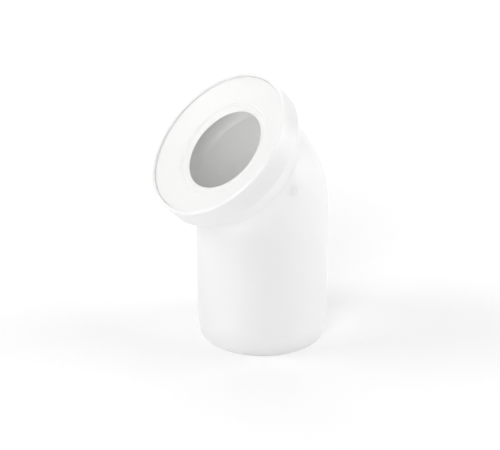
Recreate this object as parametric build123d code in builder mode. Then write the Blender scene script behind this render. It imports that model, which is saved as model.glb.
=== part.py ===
from build123d import *
import math
import os

# A 45 degree toilet pan connector, in millimetres. It stands on the end of its spigot: the origin is the centre of
# that end, +Z runs up the spigot's axis, and the socket leans towards -Y.

# Spigot, which goes into the soil pipe's socket
spigot_diameter = 110.0
tube_wall = 3.2
spigot_length = 110.0
lead_in_length = 18.0
lead_in_depth = 2.0

# Bend, with the round of its outer surface in the throat
bend_angle = 45.0
throat_round = 3.0

# Socket for the toilet's outlet, measured along its own axis from the end of the bend
socket_diameter = 132.0
socket_wall = 3.2
neck_straight = 0.3
neck_blend = 6.0
shoulder_length = 18.0
shoulder_round = 4.0
socket_depth = 20.0
rim_outer_chamfer = 1.2
rim_inner_chamfer = 0.4
seat_width = 1.6

# Lip seal, which stands on the seat in the socket
seal_clearance = 0.2
seal_recess = 2.0
sleeve_wall = 2.4
sleeve_chamfer = 0.4
lip_thickness = 2.2
lip_opening = 71.0
lip_opening_depth = 11.7
lip_edge_chamfer = 0.4
groove_inner_offset = 4.8
groove_width = 2.4
groove_depth = 0.4

# Radii and places that follow from the sizes above
tube_radius = spigot_diameter / 2
bore_radius = tube_radius - tube_wall
socket_radius = socket_diameter / 2
mouth_radius = socket_radius - socket_wall
seat_radius = mouth_radius - seat_width
bend_radius = tube_radius + throat_round
shoulder_slope = math.atan2(socket_radius - tube_radius, shoulder_length)
neck_length = neck_straight + neck_blend * math.tan(shoulder_slope / 2)
shoulder_end = neck_length + shoulder_length
mouth_height = shoulder_end + socket_depth

# The socket's own plane: x runs outwards from its axis, y runs along the axis and out of the mouth
lean = math.radians(bend_angle)
socket_out = (0, -math.sin(lean), math.cos(lean))
socket_side = (0, math.cos(lean), math.sin(lean))
bend_centre = (0, -bend_radius, spigot_length)
bend_end = (0, -bend_radius * (1 - math.cos(lean)), spigot_length + bend_radius * math.sin(lean))
socket_plane = Plane(origin=bend_end, x_dir=socket_side, z_dir=(1, 0, 0))
socket_axis = Axis(bend_end, socket_out)


# Elbow body: spigot, bend and socket in one moulding
with BuildPart() as elbow_body:
    # Spigot, turned about Z, with its tapered lead-in at the bottom
    with BuildSketch(Plane.XZ):
        with BuildLine():
            Polyline(
                (bore_radius, 0),
                (tube_radius - lead_in_depth, 0),
                (tube_radius, lead_in_length),
                (tube_radius, spigot_length),
                (bore_radius, spigot_length),
                close=True,
            )
        make_face()
    revolve(axis=Axis.Z)

    # Bend: the tube's ring, swung about the bend's centre
    with BuildSketch(Plane.XY.offset(spigot_length)):
        Circle(tube_radius)
        Circle(bore_radius, mode=Mode.SUBTRACT)
    revolve(axis=Axis(bend_centre, (1, 0, 0)), revolution_arc=bend_angle)

    # Neck, shoulder and socket, with the ledge inside that the seal stands on
    with BuildSketch(socket_plane):
        with BuildLine():
            FilletPolyline(
                (tube_radius, 0),
                (tube_radius, neck_length),
                (socket_radius, shoulder_end),
                (socket_radius, mouth_height - rim_outer_chamfer),
                radius=[neck_blend, shoulder_round],
            )
            Polyline(
                (socket_radius, mouth_height - rim_outer_chamfer),
                (socket_radius - rim_outer_chamfer, mouth_height),
                (mouth_radius + rim_inner_chamfer, mouth_height),
                (mouth_radius, mouth_height - rim_inner_chamfer),
                (mouth_radius, shoulder_end),
                (seat_radius, shoulder_end),
                (bore_radius, 0),
                (tube_radius, 0),
            )
        make_face()
    revolve(axis=socket_axis)

elbow_body.part.label = "elbow_body"


# Lip seal: a sleeve against the socket's wall and a funnel that slopes in to the opening
sleeve_radius = mouth_radius - seal_clearance
sleeve_inner = sleeve_radius - sleeve_wall
seal_front = mouth_height - seal_recess
opening_radius = lip_opening / 2
tip_height = mouth_height - lip_opening_depth
funnel_slope = math.atan2(seal_front - tip_height, sleeve_radius - opening_radius)
funnel_drop = lip_thickness / math.cos(funnel_slope)
funnel_root = tip_height + (sleeve_inner - opening_radius) * math.tan(funnel_slope) - funnel_drop

# The fold groove lies round the opening, square to the funnel's slope
groove_middle = opening_radius + groove_inner_offset + groove_width / 2
groove_surface = tip_height + (groove_middle - opening_radius) * math.tan(funnel_slope)

with BuildPart() as lip_seal:
    with BuildSketch(socket_plane) as seal_section:
        with BuildLine():
            Polyline(
                (sleeve_radius, shoulder_end),
                (sleeve_radius, seal_front),
                (opening_radius, tip_height),
                (opening_radius, tip_height - funnel_drop),
                (sleeve_inner, funnel_root),
                (sleeve_inner, shoulder_end),
                close=True,
            )
        make_face()
        # The sleeve's front corner and both edges of the opening are broken
        front_corner = seal_section.vertices().group_by(Axis.X)[-1].sort_by(Axis.Y)[-1]
        chamfer(front_corner, length=sleeve_chamfer)
        opening_edges = seal_section.vertices().group_by(Axis.X)[0]
        chamfer(opening_edges, length=lip_edge_chamfer)
        # A shallow groove lets the lip fold
        with Locations((groove_middle, groove_surface)):
            Rectangle(groove_width, 2 * groove_depth, rotation=math.degrees(funnel_slope), mode=Mode.SUBTRACT)
    revolve(axis=socket_axis)

lip_seal.part.label = "lip_seal"


os.makedirs("parts", exist_ok=True)
export_step(elbow_body.part, "parts/elbow_body.step")
export_step(lip_seal.part, "parts/lip_seal.step")
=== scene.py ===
import bpy
import bmesh
import math
from mathutils import Matrix, Vector


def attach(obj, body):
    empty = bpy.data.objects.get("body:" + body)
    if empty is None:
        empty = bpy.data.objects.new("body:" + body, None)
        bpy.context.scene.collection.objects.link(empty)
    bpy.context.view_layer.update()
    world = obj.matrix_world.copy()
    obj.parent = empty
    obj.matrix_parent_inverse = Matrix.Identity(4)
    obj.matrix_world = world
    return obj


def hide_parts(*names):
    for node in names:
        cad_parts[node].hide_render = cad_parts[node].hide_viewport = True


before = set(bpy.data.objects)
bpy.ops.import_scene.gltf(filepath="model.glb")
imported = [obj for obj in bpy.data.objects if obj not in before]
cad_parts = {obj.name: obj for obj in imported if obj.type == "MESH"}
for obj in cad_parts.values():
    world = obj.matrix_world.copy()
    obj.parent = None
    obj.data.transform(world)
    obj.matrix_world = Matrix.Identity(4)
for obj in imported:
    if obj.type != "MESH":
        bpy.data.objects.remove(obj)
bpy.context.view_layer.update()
print("frame loaded:", ", ".join(sorted(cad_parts)))


# Camera at the photograph's angle, square on, no shift
cameraSet = {
    "azimuth": 56.15,            # degrees round the object, 0 looks along +Y
    "elevation": 24.17,          # degrees above the horizon
    "distance": 1.16394,         # metres from the aim point
    "aim": (-0.00575, -0.00858, 0.09532),
    "lens": 100.4,
    "sensor": 36.0,
    "clip": (0.01, 50.0),        # nearest and farthest metres that are drawn
}


def makeCamera(s):
    data = bpy.data.cameras.new("photoCamera")
    data.lens = s["lens"]
    data.sensor_width = s["sensor"]
    data.sensor_fit = "HORIZONTAL"
    data.clip_start, data.clip_end = s["clip"]
    camera = bpy.data.objects.new("photoCamera", data)
    bpy.context.scene.collection.objects.link(camera)
    turn, rise = math.radians(s["azimuth"]), math.radians(s["elevation"])
    back = Vector((math.sin(turn) * math.cos(rise), -math.cos(turn) * math.cos(rise), math.sin(rise)))
    camera.location = Vector(s["aim"]) + back * s["distance"]
    camera.rotation_euler = (-back).to_track_quat("-Z", "Y").to_euler()
    bpy.context.scene.camera = camera


makeCamera(cameraSet)
print("camera placed")


# Small helpers for node trees
def place(tree, kind, x, y, **values):
    node = tree.nodes.new(kind)
    node.location = (x, y)
    for name, value in values.items():
        setattr(node, name, value)
    return node


def setInputs(node, **values):
    for name, value in values.items():
        node.inputs[name.replace("_", " ")].default_value = value


def newMaterial(name):
    material = bpy.data.materials.new(name)
    material.use_nodes = True
    tree = material.node_tree
    tree.nodes.clear()
    out = place(tree, "ShaderNodeOutputMaterial", 700, 0)
    shader = place(tree, "ShaderNodeBsdfPrincipled", 400, 0)
    tree.links.new(shader.outputs["BSDF"], out.inputs["Surface"])
    return material, tree, shader


# The spigot stands on Z; the socket's axis leans 45 degrees, at the far end of the bend
axisSet = {
    "bendRadius": 0.058,
    "bendAngle": 45.0,
    "spigotLength": 0.110,
}

lean = math.radians(axisSet["bendAngle"])
bendRadius = axisSet["bendRadius"]
spigotLength = axisSet["spigotLength"]
spigotFoot, spigotOut, spigotSide = Vector((0, 0, 0)), Vector((0, 0, 1)), Vector((0, 1, 0))
socketOut = Vector((0, -math.sin(lean), math.cos(lean)))
socketSide = Vector((0, math.cos(lean), math.sin(lean)))
bendBack, bendRise = bendRadius * (1 - math.cos(lean)), bendRadius * math.sin(lean)
socketFoot = Vector((0, -bendBack, spigotLength + bendRise))


# Shared effect: a moulding's skin, fine grain over slow waves, with a faint mottle in colour and gloss
skinSet = {
    "grainDetail": 2.0,
    "grainRough": 0.5,
    "waveDetail": 3.0,
    "waveRough": 0.45,
    "grainInGloss": 0.35,        # share of the gloss that follows the grain, the rest follows the waves
    "mottleRange": (0.35, 0.65),     # noise that becomes the deep colour and the plain one
    "glossRange": (0.3, 0.7),    # noise that becomes the lowest and highest roughness
    "toolWobble": 0.4,
    "toolDetail": 1.0,
    "toolDetailScale": 0.02,
    "toolRepeat": 20.0,          # radians in a metre of the wave texture at scale 1
}


def makeMouldedSkin(s):
    group = bpy.data.node_groups.new("mouldedSkin", "ShaderNodeTree")
    sockets = group.interface
    for name, value in (("Grain Size", 0.0008), ("Wave Size", 0.02), ("Wave Share", 0.5)):
        socket = sockets.new_socket(name, in_out="INPUT", socket_type="NodeSocketFloat")
        socket.default_value = value
    for name in ("Height", "Mottle", "Gloss"):
        sockets.new_socket(name, in_out="OUTPUT", socket_type="NodeSocketFloat")
    start = place(group, "NodeGroupInput", -900, 0)
    end = place(group, "NodeGroupOutput", 700, 0)
    coord = place(group, "ShaderNodeTexCoord", -900, 300)
    grainScale = place(group, "ShaderNodeMath", -650, 150, operation="DIVIDE")
    grainScale.inputs[0].default_value = 1.0
    waveScale = place(group, "ShaderNodeMath", -650, -150, operation="DIVIDE")
    waveScale.inputs[0].default_value = 1.0
    grain = place(group, "ShaderNodeTexNoise", -400, 200)
    setInputs(grain, Detail=s["grainDetail"], Roughness=s["grainRough"])
    wave = place(group, "ShaderNodeTexNoise", -400, -150)
    setInputs(wave, Detail=s["waveDetail"], Roughness=s["waveRough"])
    blend = place(group, "ShaderNodeMix", -100, 100, data_type="FLOAT")
    gloss = place(group, "ShaderNodeMix", 200, -250, data_type="FLOAT")
    gloss.inputs["Factor"].default_value = s["grainInGloss"]
    link = group.links.new
    link(start.outputs["Grain Size"], grainScale.inputs[1])
    link(start.outputs["Wave Size"], waveScale.inputs[1])
    link(coord.outputs["Object"], grain.inputs["Vector"])
    link(coord.outputs["Object"], wave.inputs["Vector"])
    link(grainScale.outputs[0], grain.inputs["Scale"])
    link(waveScale.outputs[0], wave.inputs["Scale"])
    link(start.outputs["Wave Share"], blend.inputs["Factor"])
    link(grain.outputs["Fac"], blend.inputs["A"])
    link(wave.outputs["Fac"], blend.inputs["B"])
    link(wave.outputs["Fac"], gloss.inputs["A"])
    link(grain.outputs["Fac"], gloss.inputs["B"])
    link(blend.outputs["Result"], end.inputs["Height"])
    link(wave.outputs["Fac"], end.inputs["Mottle"])
    link(gloss.outputs["Result"], end.inputs["Gloss"])
    return group


mouldedSkin = makeMouldedSkin(skinSet)


# Fine rings that a turned mould leaves, round the socket's axis
def addToolLines(tree, height, s):
    coord = place(tree, "ShaderNodeTexCoord", -900, -500)
    turned = place(tree, "ShaderNodeMapping", -700, -500, vector_type="TEXTURE")
    setInputs(turned, Location=socketFoot, Rotation=(lean, 0, 0))
    rings = place(tree, "ShaderNodeTexWave", -500, -500, wave_type="RINGS", rings_direction="Z")
    scale = math.tau / (skinSet["toolRepeat"] * s["toolLines"])
    setInputs(rings, Scale=scale, Distortion=skinSet["toolWobble"], Detail=skinSet["toolDetail"],
              Detail_Scale=skinSet["toolDetailScale"])
    mix = place(tree, "ShaderNodeMix", -200, -350, data_type="FLOAT")
    mix.inputs["Factor"].default_value = s["toolShare"]
    tree.links.new(coord.outputs["Object"], turned.inputs["Vector"])
    tree.links.new(turned.outputs["Vector"], rings.inputs["Vector"])
    tree.links.new(height, mix.inputs["A"])
    tree.links.new(rings.outputs["Fac"], mix.inputs["B"])
    return mix.outputs["Result"]


def dressMoulding(name, s):
    material, tree, shader = newMaterial(name)
    skin = place(tree, "ShaderNodeGroup", -500, 0)
    skin.node_tree = mouldedSkin
    setInputs(skin, Grain_Size=s["grainSize"], Wave_Size=s["waveSize"], Wave_Share=s["waveShare"])
    tint = place(tree, "ShaderNodeMix", -50, 250, data_type="RGBA")
    tint.inputs["A"].default_value = (*s["deep"], 1)
    tint.inputs["B"].default_value = (*s["colour"], 1)
    spread = place(tree, "ShaderNodeMapRange", -250, 250)
    setInputs(spread, From_Min=skinSet["mottleRange"][0], From_Max=skinSet["mottleRange"][1])
    rough = place(tree, "ShaderNodeMapRange", -50, 0)
    setInputs(rough, From_Min=skinSet["glossRange"][0], From_Max=skinSet["glossRange"][1])
    setInputs(rough, To_Min=s["rough"][0], To_Max=s["rough"][1])
    bump = place(tree, "ShaderNodeBump", 150, -250)
    setInputs(bump, Strength=s["bump"], Distance=s["bumpHeight"])
    link = tree.links.new
    link(skin.outputs["Mottle"], spread.inputs["Value"])
    link(spread.outputs["Result"], tint.inputs["Factor"])
    link(tint.outputs["Result"], shader.inputs["Base Color"])
    link(skin.outputs["Gloss"], rough.inputs["Value"])
    link(rough.outputs["Result"], shader.inputs["Roughness"])
    height = skin.outputs["Height"]
    if s["toolLines"]:
        height = addToolLines(tree, height, s)
    link(height, bump.inputs["Height"])
    link(bump.outputs["Normal"], shader.inputs["Normal"])
    setInputs(shader, IOR=s["ior"], Subsurface_Weight=s["glow"], Subsurface_Radius=(1, 1, 1))
    setInputs(shader, Subsurface_Scale=s["glowDepth"])
    return material


plasticSet = {
    "colour": (0.925, 0.925, 0.9265),
    "deep": (0.919, 0.919, 0.9205),
    "rough": (0.3, 0.37),
    "grainSize": 0.0007,
    "waveSize": 0.03,
    "waveShare": 0.1,
    "bump": 0.06,
    "bumpHeight": 0.00002,
    "toolLines": 0,              # none
    "ior": 1.46,
    "glow": 1.0,                 # light that soaks into the wall and comes out on the other side
    "glowDepth": 0.0035,
}

sealSet = {
    "colour": (0.948, 0.947, 0.917),
    "deep": (0.941, 0.94, 0.909),
    "rough": (0.42, 0.52),
    "grainSize": 0.0005,
    "waveSize": 0.02,
    "waveShare": 0.1,
    "bump": 0.15,
    "bumpHeight": 0.00003,
    "toolLines": 0.0009,         # spacing of the rings
    "toolShare": 0.25,
    "ior": 1.5,
    "glow": 1.0,
    "glowDepth": 0.002,
}

# The dial is too thin for light to soak in, so its colour is painted a little lighter instead: painted
# light, standing in for the light that soaks through the body's wall
dialPaintedLightSet = dict(plasticSet, glow=0.0, colour=(0.96, 0.96, 0.961), deep=(0.954, 0.954, 0.955))

whitePlastic = dressMoulding("whitePlastic", plasticSet)
dialPlastic = dressMoulding("dialPlastic", dialPaintedLightSet)
sealRubber = dressMoulding("sealRubber", sealSet)
print("finishes mixed")


# How finely the forms are welded, picked and shaded
formSet = {
    "weld": 0.000002,            # metres within which two points become one
    "onRing": 0.00001,           # metres within which a point counts as on a ring
    "sharpAngle": 35.0,          # degrees past which an edge stays sharp
}


# Turns a line of (radius, height) points about an axis
def turnProfile(form, profile, foot, out, side, steps, closed=False):
    verts = [form.verts.new(foot + side * radius + out * height) for radius, height in profile]
    pairs = list(zip(verts, verts[1:]))
    if closed:
        pairs.append((verts[-1], verts[0]))
    edges = [form.edges.new(pair) for pair in pairs]
    bmesh.ops.spin(form, geom=verts + edges, cent=foot, axis=out, angle=math.tau,
                   steps=steps, use_merge=True)


def closeForm(form):
    bmesh.ops.remove_doubles(form, verts=form.verts[:], dist=formSet["weld"])
    bmesh.ops.recalc_face_normals(form, faces=form.faces[:])


# Rounds the edge that runs round an axis at one radius and height
def roundRing(form, foot, out, radius, height, offset, segments):
    verts = []
    near = formSet["onRing"]
    for vert in form.verts:
        rise = (vert.co - foot).dot(out)
        reach = (vert.co - foot - out * rise).length
        if abs(rise - height) < near and abs(reach - radius) < near:
            verts.append(vert)
    chosen = set(verts)
    edges = [edge for edge in form.edges if edge.verts[0] in chosen and edge.verts[1] in chosen]
    bmesh.ops.bevel(form, geom=verts + edges, offset=offset, offset_type="OFFSET", affect="EDGES",
                    segments=segments, profile=0.5, material=-1)


def finishPiece(name, form, material):
    for face in form.faces:
        face.smooth = True
    sharp = math.radians(formSet["sharpAngle"])
    for edge in form.edges:
        edge.smooth = edge.calc_face_angle(0) < sharp
    mesh = bpy.data.meshes.new(name)
    form.to_mesh(mesh)
    form.free()
    mesh.materials.append(material)
    piece = bpy.data.objects.new(name, mesh)
    bpy.context.scene.collection.objects.link(piece)
    shading = piece.modifiers.new("evenShading", "WEIGHTED_NORMAL")
    shading.keep_sharp = True
    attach(piece, "root")
    return piece


# Body: spigot with its tapered lead-in, bend, and the socket with the ledge for the seal, one closed skin
bodySet = {
    "tubeRadius": 0.055,
    "boreRadius": 0.0518,
    "leadLength": 0.018,
    "leadDepth": 0.002,
    "neckLength": 0.001988,
    "shoulderEnd": 0.019988,
    "mouthHeight": 0.039988,
    "socketRadius": 0.066,
    "mouthRadius": 0.0628,
    "seatRadius": 0.0612,
    "steps": 192,                # sides round the tube
    "bendSteps": 24,
    "rimChamfer": 0.0012,
    # Rounds: width taken off each side, and segments
    "footRound": (0.0004, 3),
    "leadRound": (0.0015, 3),
    "neckRound": (0.00169, 6),
    "shoulderRound": (0.00113, 6),
    "rimRound": (0.0004, 4),
    "rimInnerRound": (0.001, 4),
    "boreRound": (0.0008, 4),
}


def makeBody(s):
    form = bmesh.new()
    tube, bore, foot = s["tubeRadius"], s["boreRadius"], s["tubeRadius"] - s["leadDepth"]
    spigotLine = [(bore, spigotLength), (bore, 0), (foot, 0), (tube, s["leadLength"]), (tube, spigotLength)]
    turnProfile(form, spigotLine, spigotFoot, spigotOut, spigotSide, s["steps"])
    # The two open rings at the top are swung through the bend
    topEdges = [edge for edge in form.edges if edge.is_boundary]
    topVerts = list(dict.fromkeys(vert for edge in topEdges for vert in edge.verts))
    bmesh.ops.spin(form, geom=topVerts + topEdges, cent=(0, -bendRadius, spigotLength), axis=(1, 0, 0),
                   angle=lean, steps=s["bendSteps"], use_merge=False)
    mouth, shoulder, neck = s["mouthHeight"], s["shoulderEnd"], s["neckLength"]
    outside, inside, chamfer = s["socketRadius"], s["mouthRadius"], s["rimChamfer"]
    socketLine = [(tube, 0), (tube, neck), (outside, shoulder), (outside, mouth),
                  (inside, mouth), (inside, shoulder), (s["seatRadius"], shoulder), (bore, 0)]
    turnProfile(form, socketLine, socketFoot, socketOut, socketSide, s["steps"])
    closeForm(form)
    roundRing(form, spigotFoot, spigotOut, foot, 0, *s["footRound"])
    roundRing(form, spigotFoot, spigotOut, bore, 0, *s["footRound"])
    roundRing(form, spigotFoot, spigotOut, tube, s["leadLength"], *s["leadRound"])
    roundRing(form, socketFoot, socketOut, tube, neck, *s["neckRound"])
    roundRing(form, socketFoot, socketOut, outside, shoulder, *s["shoulderRound"])
    # The rim is chamfered first, then both edges of the chamfer are rounded
    roundRing(form, socketFoot, socketOut, outside, mouth, chamfer, segments=1)
    roundRing(form, socketFoot, socketOut, outside, mouth - chamfer, *s["rimRound"])
    roundRing(form, socketFoot, socketOut, outside - chamfer, mouth, *s["rimRound"])
    roundRing(form, socketFoot, socketOut, inside, mouth, *s["rimInnerRound"])
    roundRing(form, socketFoot, socketOut, bore, 0, *s["boreRound"])
    body = finishPiece("mouldedBody", form, whitePlastic)
    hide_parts("elbow_body")


makeBody(bodySet)
print("body turned and bent")


# Seal: a sleeve in the socket and a funnel that slopes in to the opening, with a fold groove round it
lipSet = {
    "sleeveRadius": 0.0626,
    "sleeveInner": 0.0602,
    "seat": bodySet["shoulderEnd"],
    "front": 0.037988,
    "openingRadius": 0.0355,
    "tip": 0.028288,
    "thickness": 0.0022,
    "edgeThickness": 0.0009,     # the lip thins behind, towards the opening
    "taperLength": 0.006,
    "grooveInner": 0.04037,
    "grooveOuter": 0.04263,
    "grooveDepth": 0.00015,
    "creaseDepth": (0.0004, 0.0007),     # the groove's sides run down into fine creases, outer and inner
    "creaseWidth": 0.0006,
    "steps": bodySet["steps"],
    # Rounds: width taken off each side, and segments
    "grooveRound": (0.0001, 2),
    "openingRound": (0.0003, 4),
    "sleeveRound": (0.0004, 4),
}


def makeSeal(s):
    slope = math.atan2(s["front"] - s["tip"], s["sleeveRadius"] - s["openingRadius"])
    drop = s["thickness"] / math.cos(slope)

    def onFunnel(radius, depth=0.0):
        height = s["tip"] + (radius - s["openingRadius"]) * math.tan(slope)
        return radius + depth * math.sin(slope), height - depth * math.cos(slope)

    inner, outer, depth = s["grooveInner"], s["grooveOuter"], s["grooveDepth"]
    crease, (outerDeep, innerDeep) = s["creaseWidth"], s["creaseDepth"]
    groove = [onFunnel(outer), onFunnel(outer - crease / 2, outerDeep), onFunnel(outer - crease, depth),
              onFunnel(inner + crease, depth), onFunnel(inner + crease / 2, innerDeep), onFunnel(inner)]
    mouthEdge, tipEdge = (s["sleeveRadius"], s["front"]), (s["openingRadius"], s["tip"])
    backEdge = (s["openingRadius"], s["tip"] - s["edgeThickness"])
    taperRadius, taperHeight = onFunnel(s["openingRadius"] + s["taperLength"])
    rootHeight = onFunnel(s["sleeveInner"])[1] - drop
    taperEnd = (taperRadius, taperHeight - drop)
    line = [(s["sleeveRadius"], s["seat"]), mouthEdge, *groove, tipEdge, backEdge, taperEnd,
            (s["sleeveInner"], rootHeight), (s["sleeveInner"], s["seat"])]
    form = bmesh.new()
    turnProfile(form, line, socketFoot, socketOut, socketSide, s["steps"], closed=True)
    closeForm(form)
    roundRing(form, socketFoot, socketOut, *mouthEdge, *s["sleeveRound"])
    roundRing(form, socketFoot, socketOut, *tipEdge, *s["openingRound"])
    roundRing(form, socketFoot, socketOut, *backEdge, *s["openingRound"])
    for point in groove:
        roundRing(form, socketFoot, socketOut, *point, *s["grooveRound"])
    seal = finishPiece("funnelSeal", form, sealRubber)
    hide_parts("lip_seal")


makeSeal(lipSet)
print("seal turned")


# Moulder's date dial on the bend's side: a raised ring with a pointer and plain ticks
dialSet = {
    "middle": (-0.0085, 0.1466),     # along Y and Z
    "tubeRadius": bodySet["tubeRadius"],
    "radius": 0.0046,
    "line": 0.0004,
    "proud": 0.00012,            # above the bend's skin
    "sunk": 0.0003,              # below it
    "segments": 72,
    "pointerTurn": -25.0,
    "pointerLength": 0.0034,
    "pointerParts": 4,           # so that it follows the round skin
    "pointerHead": 0.0008,
    "ticks": 12,
    "tickLength": 0.0005,
    "tickWidth": 0.00025,
    "edgeRound": 0.00005,
    "edgeSegments": 2,
    "edgeAngle": 1.0,            # radians past which a top edge is rounded
    "enlarge": 1000,
}


def makeDial(s):
    form = bmesh.new()
    bmesh.ops.create_circle(form, radius=s["radius"], segments=s["segments"])
    bmesh.ops.create_circle(form, radius=s["radius"] - s["line"], segments=s["segments"])
    bmesh.ops.bridge_loops(form, edges=form.edges[:])
    # The pointer's shaft and the ticks start as squares with sides of 1
    shaft = bmesh.ops.create_grid(form, x_segments=1, y_segments=s["pointerParts"], size=0.5)["verts"]
    bmesh.ops.scale(form, vec=(s["line"], s["pointerLength"], 1), verts=shaft)
    head = bmesh.ops.create_circle(form, cap_ends=True, radius=s["pointerHead"], segments=3)["verts"]
    bmesh.ops.translate(form, vec=(0, s["pointerLength"] / 2, 0), verts=head)
    turn = Matrix.Rotation(math.radians(s["pointerTurn"]), 3, "Z")
    bmesh.ops.rotate(form, cent=(0, 0, 0), matrix=turn, verts=shaft + head)
    for number in range(s["ticks"]):
        tick = bmesh.ops.create_grid(form, x_segments=1, y_segments=1, size=0.5)["verts"]
        bmesh.ops.scale(form, vec=(s["tickWidth"], s["tickLength"], 1), verts=tick)
        reach = s["radius"] - s["line"] - s["tickLength"] / 2
        bmesh.ops.translate(form, vec=(0, reach, 0), verts=tick)
        around = Matrix.Rotation(math.tau * number / s["ticks"], 3, "Z")
        bmesh.ops.rotate(form, cent=(0, 0, 0), matrix=around, verts=tick)
    raised = bmesh.ops.extrude_face_region(form, geom=form.faces[:], use_keep_orig=True)["geom"]
    top = [part for part in raised if isinstance(part, bmesh.types.BMVert)]
    bmesh.ops.translate(form, vec=(0, 0, s["proud"] + s["sunk"]), verts=top)
    # Enlarged while the normals are found, because a tick is too small to tell its inside from its outside
    larger = s["enlarge"]
    bmesh.ops.scale(form, vec=(larger, larger, larger), verts=form.verts[:])
    bmesh.ops.recalc_face_normals(form, faces=form.faces[:])
    bmesh.ops.scale(form, vec=(1 / larger, 1 / larger, 1 / larger), verts=form.verts[:])
    high = set(top)
    topEdges = [edge for edge in form.edges if set(edge.verts) <= high]
    rim = [edge for edge in topEdges if edge.calc_face_angle(0) > s["edgeAngle"]]
    rimVerts = list(dict.fromkeys(vert for edge in rim for vert in edge.verts))
    bmesh.ops.bevel(form, geom=rimVerts + rim, offset=s["edgeRound"], offset_type="OFFSET", affect="EDGES",
                    segments=s["edgeSegments"], profile=0.5, material=-1)
    # Laid on the bend's round side, a little sunk in
    for vert in form.verts:
        y, z = s["middle"][0] + vert.co.x, s["middle"][1] + vert.co.y
        swing = math.hypot(y + bendRadius, z - spigotLength)
        skin = math.sqrt(s["tubeRadius"] ** 2 - (swing - bendRadius) ** 2)
        vert.co = (skin - s["sunk"] + vert.co.z, y, z)
    form.normal_update()
    finishPiece("dateDial", form, dialPlastic)


makeDial(dialSet)
print("date dial laid on the bend")


# Floor and studio light
studioSet = {
    "floorSize": 12.0,
    "floorColour": (0.96, 0.96, 0.96),
    "floorRough": 0.9,
    "floorLift": (0.06, 0.78),   # brings the lit floor up to white where it is seen, less near the object
    "liftReach": (0.1, 2.0),     # metres from the object
    "roomLight": 0.2,
    "bounces": 20,               # light goes to and fro many times inside a white tube
    "spareBounces": 8,           # for gloss, beyond those
    "aim": (0, 0, 0.11),
    "lamps": {
        # name: degrees to the right of the camera, degrees up, metres away, size, power
        "softboxLeft": (-85.0, 40.0, 1.4, 0.6, 5.6),
        "softboxRight": (94.0, 18.0, 1.6, 1.2, 13.8),
        "softboxTop": (-16.0, 67.0, 1.6, 0.5, 1.7),
        "softboxBehind": (180.0, 56.0, 1.3, 1.8, 8.9),
        "softboxFront": (-18.0, 23.0, 1.4, 0.6, 4.5),
        "softboxLow": (-30.0, 8.0, 1.4, 0.5, 2.0),
    },
}


# One where the floor or the room is seen, in a mirror or through glass too
def seenRays(tree, x, y):
    path = place(tree, "ShaderNodeLightPath", x, y)
    addGlossy = place(tree, "ShaderNodeMath", x + 200, y, operation="MAXIMUM")
    addThrough = place(tree, "ShaderNodeMath", x + 400, y, operation="MAXIMUM")
    tree.links.new(path.outputs["Is Camera Ray"], addGlossy.inputs[0])
    tree.links.new(path.outputs["Is Glossy Ray"], addGlossy.inputs[1])
    tree.links.new(addGlossy.outputs[0], addThrough.inputs[0])
    tree.links.new(path.outputs["Is Transmission Ray"], addThrough.inputs[1])
    return addThrough.outputs[0]


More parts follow.
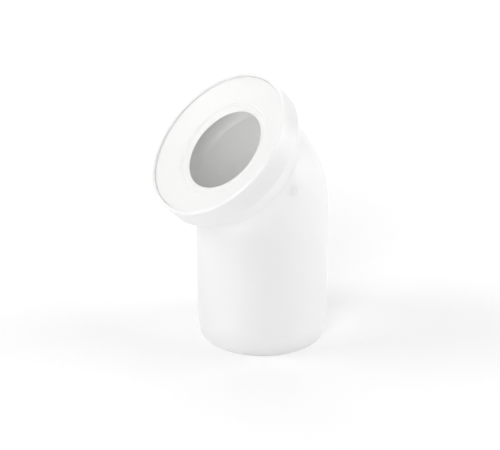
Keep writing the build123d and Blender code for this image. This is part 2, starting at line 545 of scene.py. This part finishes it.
def makeFloor(s):
    mesh = bpy.data.meshes.new("floor")
    form = bmesh.new()
    bmesh.ops.create_grid(form, x_segments=1, y_segments=1, size=s["floorSize"] / 2)
    form.to_mesh(mesh)
    form.free()
    floor = bpy.data.objects.new("floor", mesh)
    bpy.context.scene.collection.objects.link(floor)
    material, tree, shader = newMaterial("paleFloor")
    setInputs(shader, Base_Color=(*s["floorColour"], 1), Roughness=s["floorRough"], Specular_IOR_Level=0.0)
    setInputs(shader, Emission_Color=(1, 1, 1, 1))
    coord = place(tree, "ShaderNodeTexCoord", -700, -600)
    far = place(tree, "ShaderNodeVectorMath", -500, -600, operation="LENGTH")
    rise = place(tree, "ShaderNodeMapRange", -250, -600)
    setInputs(rise, From_Min=s["liftReach"][0], From_Max=s["liftReach"][1])
    setInputs(rise, To_Min=s["floorLift"][0], To_Max=s["floorLift"][1])
    lift = place(tree, "ShaderNodeMath", 150, -300, operation="MULTIPLY")
    tree.links.new(coord.outputs["Object"], far.inputs[0])
    tree.links.new(far.outputs["Value"], rise.inputs["Value"])
    tree.links.new(seenRays(tree, -500, -300), lift.inputs[0])
    tree.links.new(rise.outputs["Result"], lift.inputs[1])
    tree.links.new(lift.outputs[0], shader.inputs["Emission Strength"])
    mesh.materials.append(material)


def makeRoom(s):
    world = bpy.data.worlds.new("studioRoom")
    world.use_nodes = True
    bpy.context.scene.world = world
    tree = world.node_tree
    tree.nodes.clear()
    out = place(tree, "ShaderNodeOutputWorld", 600, 0)
    light = place(tree, "ShaderNodeBackground", 100, 100)
    setInputs(light, Color=(1, 1, 1, 1), Strength=s["roomLight"])
    white = place(tree, "ShaderNodeBackground", 100, -100)
    setInputs(white, Color=(1, 1, 1, 1), Strength=1.0)
    mix = place(tree, "ShaderNodeMixShader", 350, 0)
    link = tree.links.new
    link(seenRays(tree, -500, 200), mix.inputs["Fac"])
    link(light.outputs[0], mix.inputs[1])
    link(white.outputs[0], mix.inputs[2])
    link(mix.outputs[0], out.inputs["Surface"])


def makeLamps(s):
    heading = math.radians(cameraSet["azimuth"])
    right = Vector((math.cos(heading), math.sin(heading), 0))
    front = Vector((math.sin(heading), -math.cos(heading), 0))
    for name, (turn, rise, distance, size, power) in s["lamps"].items():
        turn, rise = math.radians(turn), math.radians(rise)
        level = front * math.cos(turn) + right * math.sin(turn)
        way = level * math.cos(rise) + Vector((0, 0, math.sin(rise)))
        data = bpy.data.lights.new(name, "AREA")
        data.shape = "SQUARE"
        data.size = size
        data.energy = power
        lamp = bpy.data.objects.new(name, data)
        bpy.context.scene.collection.objects.link(lamp)
        lamp.location = Vector(s["aim"]) + way * distance
        lamp.rotation_euler = way.to_track_quat("Z", "Y").to_euler()


makeFloor(studioSet)
makeRoom(studioSet)
makeLamps(studioSet)
bpy.context.scene.view_settings.view_transform = "Standard"
bpy.context.scene.cycles.diffuse_bounces = studioSet["bounces"]
bpy.context.scene.cycles.max_bounces = studioSet["bounces"] + studioSet["spareBounces"]
print("studio lit")
